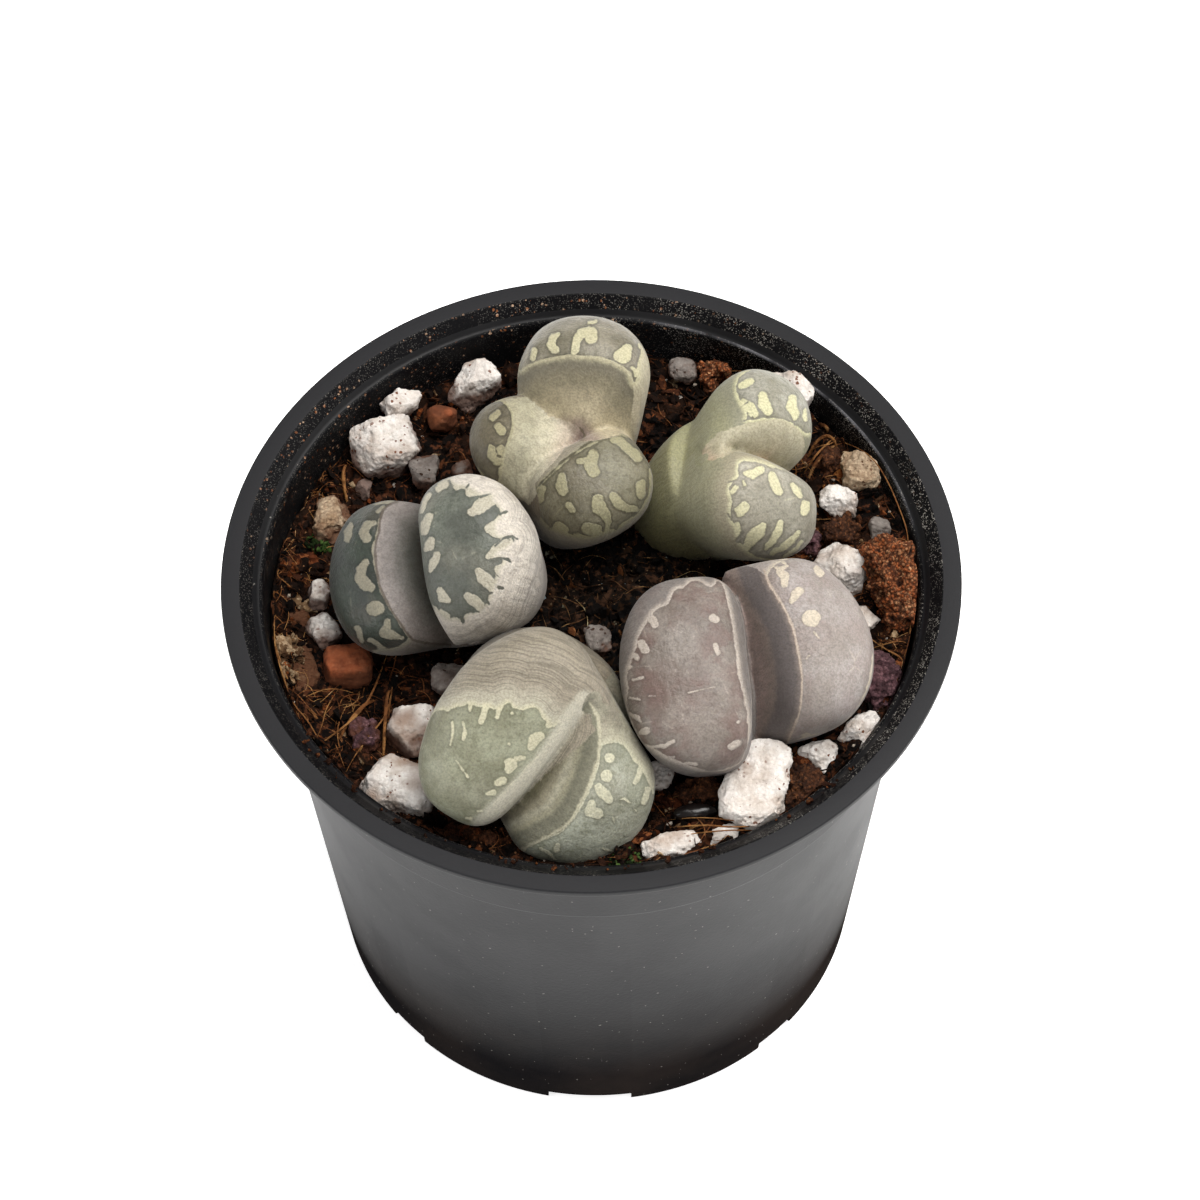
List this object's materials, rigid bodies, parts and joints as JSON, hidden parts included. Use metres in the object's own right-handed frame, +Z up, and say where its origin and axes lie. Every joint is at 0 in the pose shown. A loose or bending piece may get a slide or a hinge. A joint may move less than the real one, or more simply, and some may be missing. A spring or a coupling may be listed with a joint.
{
  "type": "potted succulent",
  "caption": "Stone plants with patterned, split flat tops growing in a small round black nursery pot, with perlite, clay and coir on the soil.",
  "frame": {"origin": "centre of the pot's foot, on the ground", "axes": "+Z up, along the pot's axis; +Y points away from the viewer of the picture, +X to the right"},
  "size_m": [0.076, 0.076, 0.0767],
  "materials": {
    "pot": "satin",
    "soil": "matte",
    "lithops_left": "satin",
    "lithops_back": "satin",
    "lithops_right_back": "satin",
    "lithops_right": "satin",
    "lithops_front": "satin",
    "perlite_white": "matte",
    "perlite_cream": "matte",
    "perlite_grey": "matte",
    "clay_red": "matte",
    "clay_orange": "matte",
    "lava_purple": "matte",
    "bark_brown": "matte",
    "chip_tan": "matte",
    "seed_black": "gloss",
    "fibre_gold": "matte"
  },
  "bodies": {
    "root": {"pot": "pot", "soil": "soil", "lithops_left": "lithops_left", "lithops_back": "lithops_back", "lithops_right_back": "lithops_right_back", "lithops_right": "lithops_right", "lithops_front": "lithops_front", "perlite_01": "perlite_white", "perlite_02": "perlite_white", "perlite_03": "perlite_white", "perlite_04": "perlite_grey", "perlite_05": "perlite_white", "perlite_06": "perlite_cream", "perlite_07": "perlite_white", "perlite_08": "perlite_white", "perlite_09": "perlite_grey", "perlite_10": "perlite_white", "perlite_11": "perlite_white", "perlite_12": "perlite_grey", "perlite_13": "perlite_grey", "perlite_14": "perlite_grey", "perlite_15": "perlite_white", "perlite_16": "perlite_cream", "perlite_17": "perlite_white", "perlite_18": "perlite_grey", "perlite_19": "perlite_white", "perlite_20": "perlite_white", "perlite_21": "perlite_white", "perlite_22": "perlite_white", "perlite_23": "perlite_white", "perlite_24": "perlite_white", "perlite_25": "perlite_white", "perlite_26": "perlite_white", "clay_pebble": "clay_red", "bark_back": "clay_red", "clay_clod": "clay_orange", "clay_crumb_back": "clay_orange", "lava_right": "lava_purple", "lava_middle": "lava_purple", "stone_chip": "lava_purple", "bark_right": "bark_brown", "bark_right_back": "bark_brown", "bark_right_front": "bark_brown", "bark_front": "bark_brown", "coir_lump": "bark_brown", "seed": "seed_black", "wood_chip": "chip_tan", "husk": "chip_tan", "fibre_left_1": "fibre_gold", "fibre_left_2": "fibre_gold", "fibre_left_3": "fibre_gold", "fibre_back": "fibre_gold", "fibre_right": "fibre_gold"}
  },
  "joints": []
}
